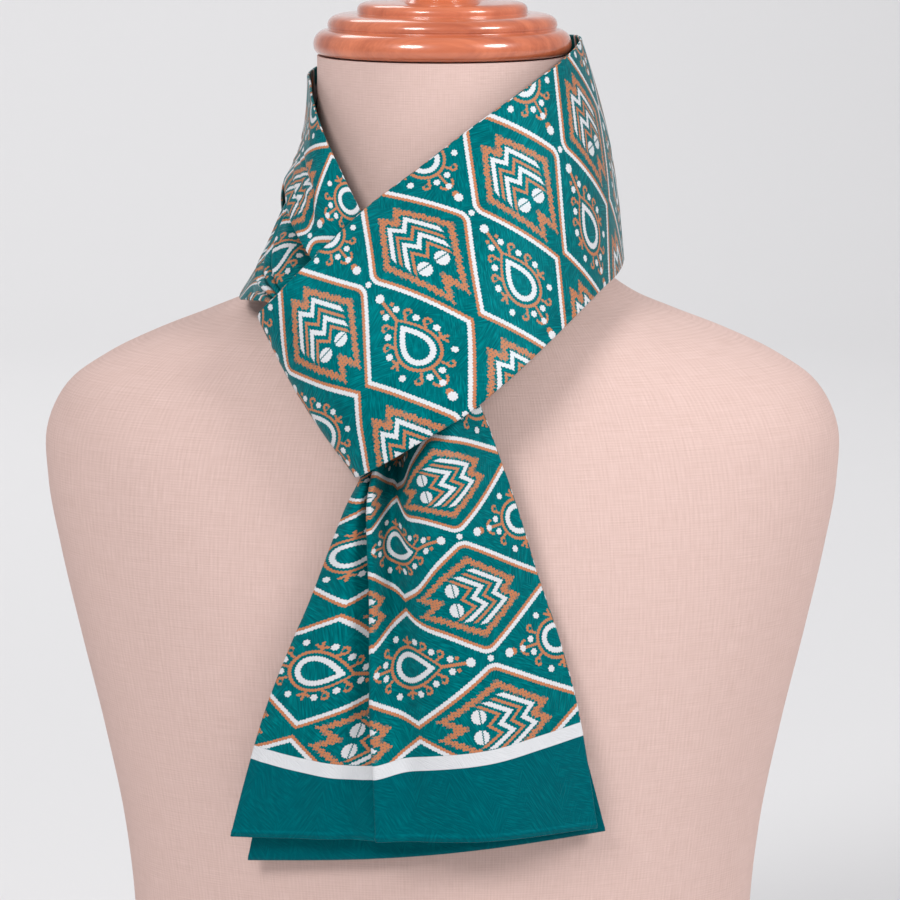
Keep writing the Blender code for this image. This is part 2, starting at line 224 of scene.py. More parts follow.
# Steps across the front tail: its right part, the lap, its left part and each turn.
TAIL_STEPS = {"right": 104, "lap": 16, "left": 52, "turn": 7}
TAIL_ROWS = 210  # and its rows
RIDGE_SHOULDER = (0.32, 0.62)  # where the ridge's steep flank eases off
PLEAT_TURN = 1.4  # radius of the knife pleat's two turns
TIGHT_TURN = 0.4  # the share of it that is left where the pleat has no lap
TURN_EASE = 0.06  # and how fast it grows with the lap
LEFT_BULGE = 5.0  # how far the tail bulges left of its pleat
BULGE_LAP = 14.0  # from this lap on
PLEAT_SHADE = 4.5  # how far it falls back close to the pleat
SHADE_LAP = 8.0  # from this lap on
SHADE_BREADTH = 7.0  # and over this breadth
HEM_STRETCH = 6.0  # the stretch over the hem with its rows closer together
HEM_ROWS = 16
HEM_RIDGE = 0.5  # how far the stitched hem stands out
HEM_STITCH = 1.9  # where it does, above the hem's edge
HEM_BREADTH = 0.9
EDGE_TURNS = np.radians((45.0, 90.0, 135.0))  # the tube's edges are rounded in these steps
END_TURNS = np.radians((40.0, 75.0))  # and its ends in these

# A soft fold in the cloth, from one place to another: its breadth, and how far it stands
# out, or sinks in where that is below nothing.
FOLD = "x0 y0 x1 y1 breadth height"
FOLD_TAPER = 0.35  # how much lower a fold is at its two ends
OUTER_FOLDS = table(
    FOLD, (600, 48, 672, 48, 8, 4.4), (30, 112, 120, 108, 7, 1.2),
    (609, 28, 634, 24, 2.6, -2.0), (634, 24, 650, 34, 2.6, -1.3), (606, 38, 640, 40, 5, 1.2),
)
INNER_FOLDS = table(FOLD, (500, -21, 565, -19, 7, -9.0))
FRONT_TAIL_FOLDS = table(
    FOLD, (-7, 379, 7, 366, 2.6, -1.6), (33, 318, 58, 215, 11, 1.4),
    (6, 262, 16, 176, 9, 1.0), (-66, 214, -72, 174, 8, -1.3), (-59, 302, -80, 236, 2.2, 0.9),
    (-80, 236, -98, 180, 2.0, 0.7), (-43, 222, -45, 168, 8, -3.2),
    (-40, 330, -41, 225, 5, -1.8),
)
REAR_TAIL_FOLDS = table(FOLD, (-21, 396, -21, 355, 12, -5.5), (-20, 345, -18, 205, 13, -4.0))

# ---- the print's sizes
REPEAT_ALONG = 62.4  # the print repeats this often along the scarf
REPEAT_ACROSS = 79.5  # and this often across it
DROP_LOW = 2.0  # how far each drop lies below the middle of its cell
WHITE_LINE = 1.9
TAN_LINE = 1.42
EDGE_THREAD = 0.65  # the print's outlines step aside from thread to thread
EDGE_STEP = 0.8  # by this share of a thread
END_BAND = 51.5  # middle of the white stripe, above the hem
END_STRIPE = 6.8  # its breadth
FEATHER_BREADTH = 34.0  # the woven feathers: from spine to spine
FEATHER_LEAN = math.radians(24)

# Where the print lies on a layer: at a section of its table, how far it has run on along
# the scarf and across it, how far it leans, and how far its lower half slides.
LIE = "section along across lean slide"
OUTER_LIE = table(
    LIE, (0, -16, 6, -0.04, 5), (3.4, -16, 7, -0.04, 5), (4.9, -16, 6.5, -0.04, 0),
    (6.1, -16.2, 5.2, -0.03, -5.4), (7, -16.5, 4, 0, -1.5), (8, -15, 5, 0, -1.5),
    (10, -13, 7, 0, 0), (17, -14, 2, 0.3, 0), (20.3, -14, 2.5, 0.5, 0),
    (21.9, -9, -2, 0.55, 0), (26, -9, -3.5, 0.55, 0),
)
INNER_LIE = table(
    LIE, (0, 0, 5, 0, 0), (11, 0, 5, 0, 0), (15, 3, -27.5, 0, 0), (20, 3, -27.5, 0, 0),
)
SLIDE_END = 1.2  # how far the slide goes on growing below the middle

# On the tails: where the print lies at an edge and a hem, and how its weft runs.
TAIL_RIGHT = 0.8  # its place at the front tail's right end
FRONT_STRIPE = 202.5  # where the white stripe lies along the front tail
REAR_TAIL_PRINT = {"along": 10.0, "across": 20.0}
VALLEY_DIP = 69.0  # its place where the weft dips in the valley
DIP_BREADTH = 9.0
# How far the weft has risen at each place across the tail, as a share of its section's sag.
WEFT_RISES = table(
    RISE, (0, 0.93), (22, 0.70), (45, 0.46), (67, 0.33), (88, 0.20), (103, 0.03),
    (125, -0.03), (145, 0.11), (160, 0.28), (178, 0.53),
)

# The nested zigzags: their two arms, and for each how far it hangs below the first one,
# its width and its reach to either side.
ZIGZAG_ARMS = table("slope level scale", (1.04, 9.2, 0.693), (-1.436, 20.6, 0.571))
ZIGZAG = "drop width reach"
WHITE_ZIGZAGS = table(ZIGZAG, (0.0, 2.0, 14.0), (10.3, 2.0, 11.5))
TAN_ZIGZAGS = table(ZIGZAG, (5.4, 1.25, 12.7), (15.4, 1.25, 10.3))
CHART_HEIGHT = 0.885  # height of their chart, as a share of their cell's
# The four slanted sides of their stepped frame.
FRAME_SIDES = table(
    "across along level",
    (0.806, 0.593, 15.3), (-0.788, 0.616, 8.9), (0.861, -0.509, 16.3), (-0.872, -0.490, 8.1),
)
FRAME_HALF = 1.35
FRAME_STITCH = 1.3
CHECK = 1.5  # spacing of the small checks that break up its tan
CHECK_HALF = 0.32

# Round marks about the drop: place, radius.
MARK = "x y radius"
WHITE_MARKS = table(
    MARK, (0.0, 31.8, 2.2), (3.0, 22.4, 1.6), (7.9, 13.7, 1.6), (12.7, 5.2, 1.6),
    (13.6, -7.3, 1.6), (3.2, -14.2, 1.6), (0.0, -19.6, 1.6), (0.0, -27.5, 2.2),
    (0.0, 41.7, 1.55), (0.0, -37.8, 1.55),
)
TAN_MARKS = table(MARK, (2.9, 25.7, 1.0), (0.0, -25.0, 1.7))
# Small scrolls on its outline: centre, radius, and the level where each is cut off.
SCROLLS = table(
    "x y radius cut upward", (6.3, 17.8, 1.6, 16.7, True), (11.0, 9.5, 1.6, 8.3, True),
    (8.3, -12.8, 1.6, -11.7, False), (0.0, -17.2, 3.5, -17.2, False),
)
# Stems up and down from the drop, on its middle line: half breadth, middle, half length.
STEMS = table("half middle reach", (0.75, 24.0, 6.6), (0.6, -14.5, 4.2))
# Short strokes: the scrolls' stems and the three petals at either side.
STROKES = table(
    "x0 y0 x1 y1 half", (3.4, 15.6, 4.7, 17.8, 0.6), (8.7, 7.6, 9.4, 9.4, 0.6),
    (5.4, -10.6, 6.9, -13.0, 0.6), (11.9, 0.6, 12.4, 2.5, 0.62),
    (10.6, 0.4, 14.6, 0.0, 0.62), (11.9, -0.2, 13.1, -2.4, 0.62),
)
# The drop's three outlines: breadth to each side of the middle, and height over it.
EGG = "radius height"
RIM_OUTSIDE, RIM_INSIDE, OUTLINE = table(EGG, (7.5, 14.6), (5.0, 10.8), (9.8, 17.9))
OUTLINE_HALF = 0.7  # half the breadth of the tan one
SCROLL_HALF = 0.6  # and of a scroll's line
BELOW_DROP = 0.93  # how much they are drawn out below the middle

# ---- the studio, in metres
FLOOR_SIDE = 7.0
FLOOR_ROWS = (-8.0, -1.0, 2.6)  # level edges of the floor, from the front
SWEEP_START = 3.2  # where it begins to curve up into the backdrop
SWEEP_RADIUS = 2.0
SWEEP_STEPS = 40
BACKDROP_TOP = 6.0
SKY_COLOUR = (0.93, 0.95, 1.0, 1.0)
LAMPS = table(
    "name place aim breadth",
    ("key", (2.5, -1.8, 2.6), (0.0, -0.05, 0.38), 1.3),
    ("side", (-1.6, -2.7, 2.6), (0.0, -0.05, 0.38), 1.3),
    ("back", (-0.7, 2.6, 2.8), (-0.7, 3.2, 0.0), 2.2),
)
VIEW_MIDDLE = (0.00375, 0.0, 0.34766)
SENSOR_WIDTH = 36.0
LENS = 208.0
CLIP = (0.1, 60.0)


# ======== what a user may change
def colour(name, description, default):
    """The setting of a colour."""
    return bpy.props.FloatVectorProperty(
        name=name, description=description, default=default, size=3, min=0, max=1,
        subtype="COLOR")


def power(name, description, default):
    """The setting of a light's power."""
    return bpy.props.FloatProperty(
        name=name, description=description, default=default, min=0, max=2000, subtype="POWER")


class ScarfSettings(bpy.types.PropertyGroup):
    """Sizes and colours of the printed silk."""

    thickness: bpy.props.FloatProperty(
        name="Cloth thickness", description="Thickness of the folded silk tube",
        default=0.0012, min=0.0008, max=0.0018, unit="LENGTH")
    ground: colour("Ground", "Colour of the silk under the print", (0.0, 0.112, 0.124))
    end_band: colour("End band", "Colour of the plain band at each end", (0.0, 0.088, 0.108))
    white: colour("White", "Colour of the print's white lines and dots", (0.66, 0.655, 0.67))
    tan: colour("Tan", "Colour of the print's tan lines and scrolls", (0.50, 0.18, 0.078))
    gloss: bpy.props.FloatProperty(
        name="Roughness", description="Roughness of the satin weave",
        default=0.40, min=0.1, max=0.9, subtype="FACTOR")


class FormSettings(bpy.types.PropertyGroup):
    """Colours of the dress form."""

    linen: colour("Linen", "Colour of the form's linen cover", (0.64, 0.475, 0.435))
    wood_light: colour("Light wood", "Paler part of the turned wood's grain", (0.68, 0.19, 0.085))
    wood_dark: colour("Dark wood", "Darker part of the turned wood's grain", (0.40, 0.085, 0.032))


class StudioSettings(bpy.types.PropertyGroup):
    """The floor, the lights and the camera."""

    floor: colour("Floor", "Colour of the floor", (0.72, 0.71, 0.71))
    sky: bpy.props.FloatProperty(
        name="Sky", description="Strength of the light from all round",
        default=0.45, min=0, max=4)
    key: power("Key light", "Power of the soft light at the right", 86.0)
    side: power("Side light", "Power of the soft light at the left", 82.0)
    back: power("Back light", "Power of the soft light on the backdrop", 43.0)
    distance: bpy.props.FloatProperty(
        name="Camera distance", description="From the camera to the middle of the view",
        default=2.6, min=1, max=6, unit="LENGTH")
    elevation: bpy.props.FloatProperty(
        name="Camera elevation", description="How far the camera looks down",
        default=math.radians(8.3), min=0, max=0.8, subtype="ANGLE")


# ======== curves and grids
def smooth_through(knots, values, places):
    """A smooth curve through values at knots, read at places."""
    knots = np.asarray(knots, float)
    values = np.asarray(values, float)
    slopes = np.gradient(values, knots, axis=0)
    index = np.clip(np.searchsorted(knots, places, side="right") - 1, 0, len(knots) - 2)
    step = knots[index + 1] - knots[index]
    t = (places - knots[index]) / step
    shape = (-1,) + (1,) * (values.ndim - 1)
    t, step = t.reshape(shape), step.reshape(shape)
    return (
        (2 * t**3 - 3 * t**2 + 1) * values[index]
        + (t**3 - 2 * t**2 + t) * step * slopes[index]
        + (3 * t**2 - 2 * t**3) * values[index + 1]
        + (t**3 - t**2) * step * slopes[index + 1]
    )


def chord_lengths(points):
    """Distance along a row of points, starting from nothing."""
    steps = np.linalg.norm(np.diff(points, axis=0), axis=1)
    return np.concatenate(([0.0], np.cumsum(steps)))


def column(rows, name):
    """One named column of a table."""
    return np.array([getattr(row, name) for row in rows], float)


def read_off(rows, names, knots, places):
    """Columns of a table as smooth curves through its knots, read at places."""
    return [smooth_through(knots, column(rows, name), places) for name in names.split()]


def unit(vectors):
    """Vectors at length one."""
    return vectors / np.linalg.norm(vectors, axis=-1, keepdims=True)


def across_lengths(grid):
    """Distance across the cloth at each point of a grid, from its first edge."""
    steps = np.linalg.norm(np.diff(grid, axis=1), axis=2)
    return np.concatenate((np.zeros((len(grid), 1)), np.cumsum(steps, axis=1)), axis=1)


def outward_normals(grid):
    """The cloth's outward direction at each point of a grid."""
    return unit(np.cross(np.gradient(grid, axis=1), np.gradient(grid, axis=0)))


def pleat_course(samples):
    """Place, share of the lap and height at each point across a pleated layer."""
    course = [(0.0, 0.0, UPPER_EDGE_RISE)]
    start = 0.0
    for edge in PLEAT_EDGES:
        course += [(start + (edge - start) * rise.place, 0.0, rise.share) for rise in PLEAT_RISES]
        course += [(edge + (step - len(PLEAT_PATH) // 2) * PLEAT_STEP, point.reach, point.height)
                   for step, point in enumerate(PLEAT_PATH)]
        start = edge
    course += [(start + (1.0 - start) * rise.place, 0.0, rise.share) for rise in LAST_RISES]
    course = np.array(course)
    steps = np.stack((course[:, 0] + PLEAT_LAP * course[:, 1], course[:, 2] * PLEAT_WALL), axis=1)
    knots = chord_lengths(steps)
    return smooth_through(knots, course, np.linspace(0.0, knots[-1], samples)).T


def layer_grid(rows, along, across):
    """Points of a whole layer of scarf, and how far along its middle each section lies."""
    middle = (column(rows, "upper") + column(rows, "lower")) / 2
    knots = chord_lengths(middle)
    places = np.linspace(knots[0], knots[-1], along)
    upper, lower, bow, depth = read_off(rows, SECTION, knots, places)
    bow, depth = bow[:, None], depth.clip(0.0)[:, None]
    ahead, behind = (smooth_through(knots, middle, places + step) for step in (1.0, -1.0))
    outward = unit(np.cross(lower - upper, ahead - behind))
    place, reach, height = pleat_course(across)
    even = np.linspace(0.0, 1.0, across)
    folded = np.clip((depth - PLEAT_BEGINS) / PLEAT_FOLDS, 0.0, 1.0)
    section = np.interp(places, knots, np.arange(len(knots)))[:, None] - PLEAT_MIDDLE
    fan = np.exp(-PLEAT_FAN * np.clip(section, -PLEAT_FAN_REACH, PLEAT_FAN_REACH))
    t = even + folded * ((place + PLEAT_LAP * reach).clip(0.0, 1.0) ** fan - even)
    shallow = np.interp(even, place, height)
    rise = bow * np.sin(math.pi * t) + depth * (shallow + folded * (height - shallow))
    flat = upper[:, None] * (1 - t)[..., None] + lower[:, None] * t[..., None]
    grid = flat + rise[..., None] * outward[:, None]
    return grid, along_lengths(grid), knots, places


def along_lengths(grid):
    """Mean distance along the cloth of each row of a grid."""
    steps = np.linalg.norm(np.diff(grid, axis=0), axis=2).mean(axis=1)
    return np.concatenate(([0.0], np.cumsum(steps)))


def fold_relief(folds, x, y):
    """How far the soft folds move each point of the cloth."""
    relief = np.zeros_like(x)
    for fold in folds:
        run = np.array((fold.x1 - fold.x0, fold.y1 - fold.y0), float)
        length = np.hypot(*run)
        t = ((x - fold.x0) * run[0] + (y - fold.y0) * run[1]) / length**2
        beside = ((x - fold.x0) * run[1] - (y - fold.y0) * run[0]) / length
        beyond = (np.clip(t, 0, 1) - t) * length
        swell = 1 - FOLD_TAPER * np.clip(2 * t - 1, -1, 1) ** 2
        relief += fold.height * swell * np.exp(-(beside**2 + beyond**2) / fold.breadth**2)
    return relief


def tube_mesh(name, points, u, v, hem, half):
    """The flattened silk tube: an outer face, an inner face and two rounded edges."""
    normal = outward_normals(points)
    first = unit(points[:, 0] - points[:, 1])
    last = unit(points[:, -1] - points[:, -2])
    round_last, round_first = (
        np.stack([sideways * math.sin(turn) + face * math.cos(turn) for turn in EDGE_TURNS], 1)
        for sideways, face in ((last, normal[:, -1]), (first, -normal[:, 0])))
    lift = np.concatenate((normal, round_last, -normal[:, ::-1], round_first), axis=1)
    turns = len(EDGE_TURNS)

    def carried_round(field, closing=0):
        """What lies at each point of the grid, carried on round both edges and the inner face."""
        return np.concatenate((field, np.repeat(field[:, -1:], turns, axis=1), field[:, ::-1],
                               np.repeat(field[:, :1], turns + closing, axis=1)), axis=1)

    core = carried_round(points)
    ring_u, ring_hem = carried_round(u, 1), carried_round(hem, 1)
    arcs = half * EDGE_TURNS
    back = 2 * v[:, -1:] - v[:, ::-1] + math.pi * half
    closing = back[:, -1:] + np.append(arcs, math.pi * half)
    ring_v = np.concatenate((v, v[:, -1:] + arcs, back, closing), axis=1)

    def ends(start, following):
        forward = unit(core[start] - core[following])
        for turn in END_TURNS:
            yield core[start] + half * (forward * math.sin(turn) + lift[start] * math.cos(turn))

    rows = [*list(ends(0, 1))[::-1], *(core + half * lift), *ends(-1, -2)]
    closed = ((len(END_TURNS),) * 2, (0, 0))
    fields = [np.pad(field, closed, "edge") for field in (ring_u, ring_v, ring_hem)]
    rows = np.array(rows)
    count, ring = rows.shape[:2]
    span, wide = points.shape[1], ring + 1
    i, j = np.mgrid[:count - 1, :ring].reshape(2, -1)
    corner = i * wide + j
    faces = np.stack((corner, corner + wide, corner + wide + 1, corner + 1), axis=1).tolist()
    opposite = 2 * span + turns - 1
    caps = [[k, k + 1, opposite - 1 - k, opposite - k] for k in range(span - 1)]
    caps += [[*range(span - 1, span + turns + 1)], [*range(ring - turns - 1, ring), 0]]
    end = (count - 1) * wide
    faces += [*caps, *[[end + k for k in face][::-1] for face in caps]]
    mesh = bpy.data.meshes.new(name)
    mesh.from_pydata(rows.reshape(-1, 3) * MM, [],
                     [[k // wide * ring + k % wide % ring for k in face] for face in faces])
    loops = np.concatenate(faces)
    flat = np.stack([field.ravel()[loops] for field in fields[:2]], axis=1)
    mesh.uv_layers.new(name="cloth").data.foreach_set("uv", (flat * MM).ravel())
    hems = mesh.attributes.new("hem", "FLOAT", "POINT").data
    hems.foreach_set("value", (fields[2][:, :ring] * MM).ravel())
    mesh.shade_smooth()
    mesh.update()
    return mesh


# ======== shader expressions
class Value:
    """A number or colour in a material; an expression on it adds its Math nodes."""

    def __init__(self, shader, socket):
        self.shader, self.socket = shader, socket

    def math(self, operation, *others, clamp=False):
        settings = {"operation": operation, "use_clamp": clamp}
        sockets = dict(enumerate((self, *others)))
        return self.shader.value("ShaderNodeMath", settings, sockets)

    def __add__(self, other):
        return self.math("ADD", other)

    def __sub__(self, other):
        return self.math("SUBTRACT", other)

    def __mul__(self, other):
        return self.math("MULTIPLY", other)

    def __neg__(self):
        return self.math("MULTIPLY", -1.0)

    def __rsub__(self, other):
        return (-self).math("ADD", other)

    __radd__ = __add__
    __rmul__ = __mul__

    def size(self):
        return self.math("ABSOLUTE")

    def least(self, *others):
        return reduce(lambda value, other: value.math("MINIMUM", other), others, self)

    def most(self, *others):
        return reduce(lambda value, other: value.math("MAXIMUM", other), others, self)

    def clamped(self):
        """The value kept between nothing and one."""
        return self.math("ADD", 0.0, clamp=True)

    def wrapped(self, period):
        """The value brought to within half a period either side of nothing."""
        return self.math("WRAP", period / 2, -period / 2)

    def stepped(self, step):
        """The value in even steps, like the threads of a chart."""
        return self.math("SNAP", step) + step / 2

    def inside(self, softness=0.1):
        """One where a distance is below nothing, and nothing outside."""
        return self.math("MULTIPLY_ADD", -0.5 / softness, 0.5, clamp=True)


class Shader:
    """The nodes of one material."""

    def __init__(self, name):
        self.material = bpy.data.materials.new(name)
        self.material.use_nodes = True
        self.tree = self.material.node_tree
        self.tree.nodes.clear()

    def node(self, kind, settings=None, sockets=None):
        node = self.tree.nodes.new(kind)
        for name, setting in (settings or {}).items():
            setattr(node, name, setting)
        for name, value in (sockets or {}).items():
            if isinstance(value, Value):
                self.tree.links.new(value.socket, node.inputs[name])
            else:
                node.inputs[name].default_value = value
        return node

    def value(self, kind, settings=None, sockets=None, output=0):
        return Value(self, self.node(kind, settings, sockets).outputs[output])

    def split(self, vector):
        node = self.node("ShaderNodeSeparateXYZ", sockets={0: vector})
        return tuple(Value(self, output) for output in node.outputs)

    def joined(self, x, y, z=0.0):
        return self.value("ShaderNodeCombineXYZ", sockets={0: x, 1: y, 2: z})

    def blended(self, amount, first, second):
        """One colour turning into another."""
        settings = {"data_type": "RGBA"}
        sockets = {0: amount, 6: colour_of(first), 7: colour_of(second)}
        return self.value("ShaderNodeMix", settings, sockets, 2)

    def vector(self, operation, sockets, output=0):
        return self.value("ShaderNodeVectorMath", {"operation": operation}, sockets, output)

    def distance(self, point, x, y):
        """Distance from a place of the print."""
        return self.vector("DISTANCE", {0: point, 1: (x, y, 0.0)}, 1)

    def on_cloth(self):
        """The place on the cloth in millimetres, along it and across it."""
        along, across, _ = self.split(self.value("ShaderNodeUVMap", {"uv_map": "cloth"}))
        return along * (1 / MM), across * (1 / MM)

    def noise(self, *place, detail=2.0, roughness=0.5):
        sockets = {"Vector": self.joined(*place), "Scale": 1.0, "Detail": detail,
                   "Roughness": roughness}
        return self.value("ShaderNodeTexNoise", sockets=sockets)

    def bump(self, height, strength, distance):
        sockets = {"Height": height, "Strength": strength, "Distance": distance}
        return self.value("ShaderNodeBump", sockets=sockets)

    def finish(self, sockets):
        """The surface itself, a Principled shader."""
        surface = self.value("ShaderNodeBsdfPrincipled", sockets=sockets)
        self.node("ShaderNodeOutputMaterial", sockets={"Surface": surface})
        return self.material


def colour_of(value):
    """A colour as a socket takes it, with its alpha."""
    return value if isinstance(value, Value) else (*value, 1.0)


# ======== the printed silk
def trellis(x, y):
    """White lines run across the scarf in zigzags, with a tan one inside each cell."""
    half = REPEAT_ALONG / 2
    corner, waist, post, rounding = half - 2.4, 4.3, half - 3.6, 1.2
    slope = (corner - waist) / (REPEAT_ACROSS / 2)
    slant = (x + y.size() * slope - corner) * math.cos(math.atan(slope))
    edge = slant.math("SMOOTH_MAX", x - post, rounding)
    white = edge.size() - WHITE_LINE / 2
    tan = (edge + (WHITE_LINE + TAN_LINE) / 2).size() - TAN_LINE / 2
    return white, tan


def chevrons(x, y):
    """Nested zigzags, white and tan by turns, in the middle of a trellis cell."""
    arms = [((y - x * arm.slope - arm.level) * arm.scale, arm.scale) for arm in ZIGZAG_ARMS]

    def zigzag(row):
        line = reduce(Value.most, (arm + row.drop * scale for arm, scale in arms))
        return (line.size() - row.width / 2).most(x - row.reach)

    return [reduce(Value.least, map(zigzag, rows)) for rows in (WHITE_ZIGZAGS, TAN_ZIGZAGS)]


def stepped_frame(x, y):
    """A tan frame round the zigzags, notched above and below, with stepped edges."""
    stitch_x, stitch_y = x.stepped(FRAME_STITCH), y.stepped(FRAME_STITCH)
    band = reduce(Value.most, (stitch_x * side.across + stitch_y * side.along - side.level
                               for side in FRAME_SIDES)).size() - FRAME_HALF
    check = CHECK_HALF - x.wrapped(CHECK).size() - y.wrapped(CHECK).size()
    return band.most(check)


def seeds(shader, point, y):
    """A pair of round white seeds, each with a slit across it."""
    radius, slit_level, slit_half = 3.5, -10.4, 0.32
    disc = shader.distance(point, 5.0, -11.0) - radius
    return disc.most(slit_half - (y - slit_level).size())


def to_stroke(shader, point, stroke):
    """Distance from a short straight stroke of the print."""
    run = (stroke.x1 - stroke.x0, stroke.y1 - stroke.y0, 0.0)
    away = shader.vector("SUBTRACT", {0: point, 1: (stroke.x0, stroke.y0, 0.0)})
    share = shader.vector("DOT_PRODUCT", {0: away, 1: run}, 1) * (1 / (run[0] ** 2 + run[1] ** 2))
    nearest = shader.vector("SCALE", {0: run, "Scale": share.clamped()})
    return shader.vector("DISTANCE", {0: away, 1: nearest}, 1) - stroke.half


def drop(shader, x, y):
    """A drop with a white rim, in a tan outline with scrolls, dots and a stem."""
    above, below = y.most(0.0), y.least(0.0) * BELOW_DROP
    reach = shader.vector("LENGTH", {0: shader.joined(x, below)}, 1)

    def inside(egg):
        return reach - (above * (math.pi / 2 / egg.height)).math("COSINE") * egg.radius

    def dots(marks):
        return [shader.distance(point, mark.x, mark.y) - mark.radius for mark in marks]

    def curl(scroll):
        ring = shader.distance(point, scroll.x, scroll.y) - scroll.radius
        cut = scroll.cut - y if scroll.upward else y - scroll.cut
        return (ring.size() - SCROLL_HALF).most(cut)

    point = shader.joined(x, y)
    white = inside(RIM_OUTSIDE).most(-inside(RIM_INSIDE)).least(*dots(WHITE_MARKS))
    tan = (inside(OUTLINE).size() - OUTLINE_HALF).least(
        *dots(TAN_MARKS),
        *((x - stem.half).most((y - stem.middle).size() - stem.reach) for stem in STEMS),
        *(curl(scroll) for scroll in SCROLLS),
        *(to_stroke(shader, point, stroke) for stroke in STROKES))
    return white, tan


def silk_material(scarf):
    """Printed jacquard silk, its print laid out in millimetres on the cloth."""
    shader = Shader("silk_print")
    u, v = shader.on_cloth()
    hem = shader.value("ShaderNodeAttribute", {"attribute_name": "hem"}, output=2) * (1 / MM)
    worn_u, worn_v = (
        place + (beside.math("PINGPONG", EDGE_THREAD) - EDGE_THREAD / 2) * EDGE_STEP
        for place, beside in ((u, v), (v, u)))
    cell_x = worn_u.wrapped(REPEAT_ALONG).size()
    cell_y = (REPEAT_ACROSS / 2 - worn_v).wrapped(REPEAT_ACROSS)
    drop_x = (worn_u - REPEAT_ALONG / 2).wrapped(REPEAT_ALONG).size()
    drop_y = (-worn_v).wrapped(REPEAT_ACROSS) + DROP_LOW

    white, tan = drop(shader, drop_x, drop_y)
    lines = trellis(cell_x, cell_y)
    chart_y = cell_y * CHART_HEIGHT
    zigzags = chevrons(cell_x, chart_y)
    point = shader.joined(cell_x, cell_y)
    white = white.least(lines[0], zigzags[0], seeds(shader, point, cell_y))
    tan = tan.least(lines[1], zigzags[1], stepped_frame(cell_x, chart_y))
    printed = (END_BAND + END_STRIPE / 2 - hem).inside()
    stripe = ((hem - END_BAND).size() - END_STRIPE / 2).inside()
    white = (white.inside() * printed).most(stripe)
    tan = tan.inside() * printed

    # the woven ground: painted sheen on its raised strokes and painted shade in its grooves, both
    # weaker on the plain end bands
    weave, shade = jacquard(shader, u, v)
    ground = shader.blended(printed, scarf.end_band, scarf.ground)
    relief = (weave - 0.5) * (0.26 + printed * 0.44)
    # the first two colours are the weave's painted sheen and painted groove shade
    painted_sheen, painted_groove_shade, deep = (0.0, 0.30, 0.31), (0.0, 0.03, 0.045), (0.0, 0.02, 0.03)
    cloth = shader.blended(relief + 0.02, ground, painted_sheen)
    cloth = shader.blended(-relief, cloth, painted_groove_shade)
    cloth = shader.blended(tan, cloth, scarf.tan)
    cloth = shader.blended(white, cloth, scarf.white)
    cloth = shader.blended(shade * 0.12, cloth, deep)
    return shader.finish({
        "Base Color": cloth,
        "Roughness": scarf.gloss,
        "Specular IOR Level": 0.2,
        "Specular Tint": (0.0, 0.85, 0.95, 1.0),
        "Normal": shader.bump(weave, 0.45, 0.0003),
    })


def jacquard(shader, u, v):
    """Feathers of fine slanted strokes woven into the satin, in drifting patches.

    Each noise is given how fast it changes in a millimetre, across its strokes and along.
    """
    across = v.wrapped(FEATHER_BREADTH).size()
    along = u * math.cos(FEATHER_LEAN) + across * math.sin(FEATHER_LEAN)
    beside = across * math.cos(FEATHER_LEAN) - u * math.sin(FEATHER_LEAN)
    feather = shader.noise(beside * 1.5, along * 0.11, detail=1.0)
    crossing = shader.noise(u * 1.2 + v * 0.7, v * 0.16 - u * 0.09, detail=1.0)
    patch = shader.noise(u * 0.045, v * 0.06, detail=1.0)
    choice = ((patch - 0.5) * 9.0 + 0.5).clamped()
    weave = feather * choice + crossing * (1.0 - choice)
    weave = ((weave - 0.5) * 2.6 + 0.5).clamped()
    depth = shader.noise(u * 0.03, v * 0.05, 7.0)
    return weave, depth


def add_object(name, data):
    """A new object of the scene."""
    item = bpy.data.objects.new(name, data)
    bpy.context.scene.collection.objects.link(item)
    return item


def add_shape(name, shape, material):
    """A finished shape as an object of one material."""
    mesh = bpy.data.meshes.new(name)
    shape.to_mesh(mesh)
    shape.free()
    mesh.shade_smooth()
    mesh.set_sharp_from_angle(angle=CREASE)
    mesh.materials.append(material)
    return add_object(name, mesh)


def add_silk(name, points, u, v, hem, scarf):
    """A piece of the silk tube with its print."""
    mesh = tube_mesh(name, points, u, v, hem, scarf.thickness / MM / 2)
    mesh.materials.append(shared_material("silk_print", silk_material, scarf))
    return add_object(name, mesh)


def dress(piece, slot, *nodes):
    """A finished piece rides on the one body and stands for its solids."""
    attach(piece, "root")
    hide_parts(*nodes)
    return piece


def shared_material(name, maker, settings):
    """The material of that name, made once."""
    return bpy.data.materials.get(name) or maker(settings)


def place_layer(name, rows, lie, folds, scarf):
    """One wound layer of the scarf as a piece of printed silk."""
    grid, lengths, knots, places = layer_grid(rows, *LAYER_POINTS[name])
    at = np.interp(column(lie, "section"), np.arange(len(knots)), knots)
    slip, shift, lean, slide = (values[:, None] for values in
                                read_off(lie, "along across lean slide", at, places))
    v = across_lengths(grid) + shift
    v = v + slide * np.clip(2 * v / REPEAT_ACROSS - 1, 0.0, SLIDE_END)
    u = lengths[:, None] + slip + lean * (v - REPEAT_ACROSS / 2)
    grid = grid + fold_relief(folds, u, v)[..., None] * outward_normals(grid)
    return add_silk(name, grid, u, v, np.full(u.shape, NO_HEM), scarf)


def towards_hem(length, count):
    """Places along a tail, closer together over its hem."""
    start = length - HEM_STRETCH
    return np.concatenate((np.linspace(0.0, start, count - HEM_ROWS)[:-1],
                           np.linspace(start, length, HEM_ROWS + 1)))


def pressed(grid, folds, from_hem):
    """A tail with its soft folds, which go through all its layers, and its hem's ridge."""
    relief = fold_relief(folds, grid[..., 0], grid[..., 2])
    grid = grid + relief[..., None] * np.array((0.0, -1.0, 0.0))
    ridge = HEM_RIDGE * np.exp(-((from_hem - HEM_STITCH) / HEM_BREADTH) ** 2)
    return grid + ridge[:, None, None] * outward_normals(grid)


